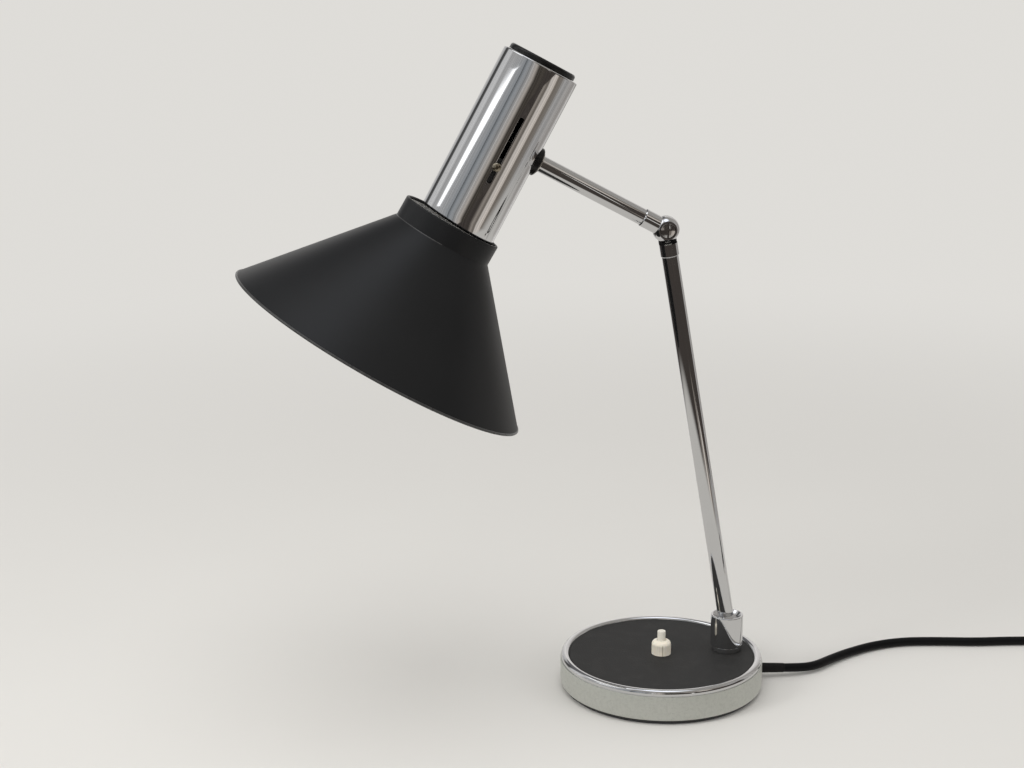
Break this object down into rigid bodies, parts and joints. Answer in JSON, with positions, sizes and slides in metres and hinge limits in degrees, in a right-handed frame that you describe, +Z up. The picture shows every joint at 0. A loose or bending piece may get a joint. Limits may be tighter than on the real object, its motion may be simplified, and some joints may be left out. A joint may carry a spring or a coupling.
{
  "type": "desk lamp",
  "caption": "Desk lamp with a weighted round base, push switch, ball-jointed rod, knuckle arm, turning head tube, sliding conical shade and coiled mains cord.",
  "frame": {"origin": "centre of the round base's underside, on the desk", "axes": "+Z up, the rod and arm lie in the XZ plane at rest, the shade reaches towards -X and the cord leaves towards +X"},
  "size_m": [0.7613, 0.226, 0.4769],
  "materials": {
    "felt": "matte",
    "black_steel": "satin",
    "zinc": "satin",
    "satin_steel": "satin",
    "iron": "matte",
    "black_cloth_disc": "matte",
    "dark_moulding": "satin",
    "ivory": "satin",
    "white_ceramic": "satin",
    "brass": "satin",
    "black_rubber": "matte",
    "cord_pvc": "satin",
    "plug_pvc": "satin",
    "flex_pvc": "satin",
    "chrome": "polished",
    "nickel": "polished",
    "fibre": "matte",
    "black_lacquer": "satin",
    "opal_glass": "satin"
  },
  "bodies": {
    "base": {"base_pad": "felt", "bottom_plate": "black_steel", "bottom_screws": "zinc", "base_shell": "satin_steel", "base_weight": "iron", "top_disc": "black_cloth_disc", "switch_body": "dark_moulding", "switch_ring_nut": "ivory", "switch_spring": "zinc", "terminal_block": "white_ceramic", "wiring_terminals": "brass", "cord_grommet": "black_rubber", "inner_lead": "cord_pvc", "lead_clip": "dark_moulding", "foot_ring": "chrome", "swivel_stud": "zinc", "stud_washer": "zinc", "stud_nut": "zinc", "swivel_nut": "brass", "mains_cord": "cord_pvc", "cord_coil": "cord_pvc", "cord_tail": "cord_pvc", "plug_body": "plug_pvc", "plug_pins": "nickel"},
    "button": {"switch_button": "ivory"},
    "post": {"post": "chrome", "ball_seat": "fibre", "seat_nut": "brass"},
    "rod": {"rod_ball": "chrome", "lower_rod": "chrome", "rod_wire": "flex_pvc", "knuckle_rear": "chrome", "friction_ring": "fibre"},
    "arm": {"knuckle_front": "chrome", "knuckle_screw": "chrome", "knuckle_washer": "zinc", "knuckle_nut": "zinc", "upper_arm": "chrome", "arm_wire": "flex_pvc", "arm_nipple": "zinc", "arm_washer": "nickel", "inner_nut": "zinc"},
    "head": {"head_tube": "chrome", "top_cap": "dark_moulding", "saddle_washer": "dark_moulding", "inner_saddle": "zinc"},
    "carriage": {"slide_bracket": "zinc", "guide_screw": "brass", "holder_nipple": "zinc", "holder_nut": "brass", "holder_cap": "dark_moulding", "holder_shell": "dark_moulding", "ceramic_insert": "white_ceramic", "screw_shell": "brass", "centre_contact": "brass", "shade": "black_lacquer", "shade_carrier": "zinc", "shade_ring": "dark_moulding", "bulb_cap": "nickel", "bulb_glass": "opal_glass"}
  },
  "joints": [
    {"name": "switch_press", "type": "slide", "parent": "base", "child": "button", "axis": [0, 0, 1], "range_m": [-0.0025, 0], "stiffness_N_per_m": 300, "springref_m": 0.001, "deforming": ["switch_spring"]},
    {"name": "post_swivel", "type": "hinge", "parent": "base", "child": "post", "pos_m": [0.05, 0, 0], "axis": [0, 0, 1], "range_deg": [-170, 170]},
    {"name": "rod_tilt", "type": "hinge", "parent": "post", "child": "rod", "pos_m": [0.05, 0, 0.046], "axis": [0, 1, 0], "range_deg": [-8, 28]},
    {"name": "knuckle_turn", "type": "hinge", "parent": "rod", "child": "arm", "pos_m": [-0.00279, 0, 0.34538], "axis": [0, 1, 0], "range_deg": [-40, 100]},
    {"name": "head_turn", "type": "hinge", "parent": "arm", "child": "head", "pos_m": [-0.12119, 0, 0.4094], "axis": [-0.8796, 0, 0.4756], "range_deg": [-160, 160]},
    {"name": "shade_slide", "type": "slide", "parent": "head", "child": "carriage", "axis": [0.4756, 0, 0.8796], "range_m": [-0.0104, 0.0357]}
  ]
}
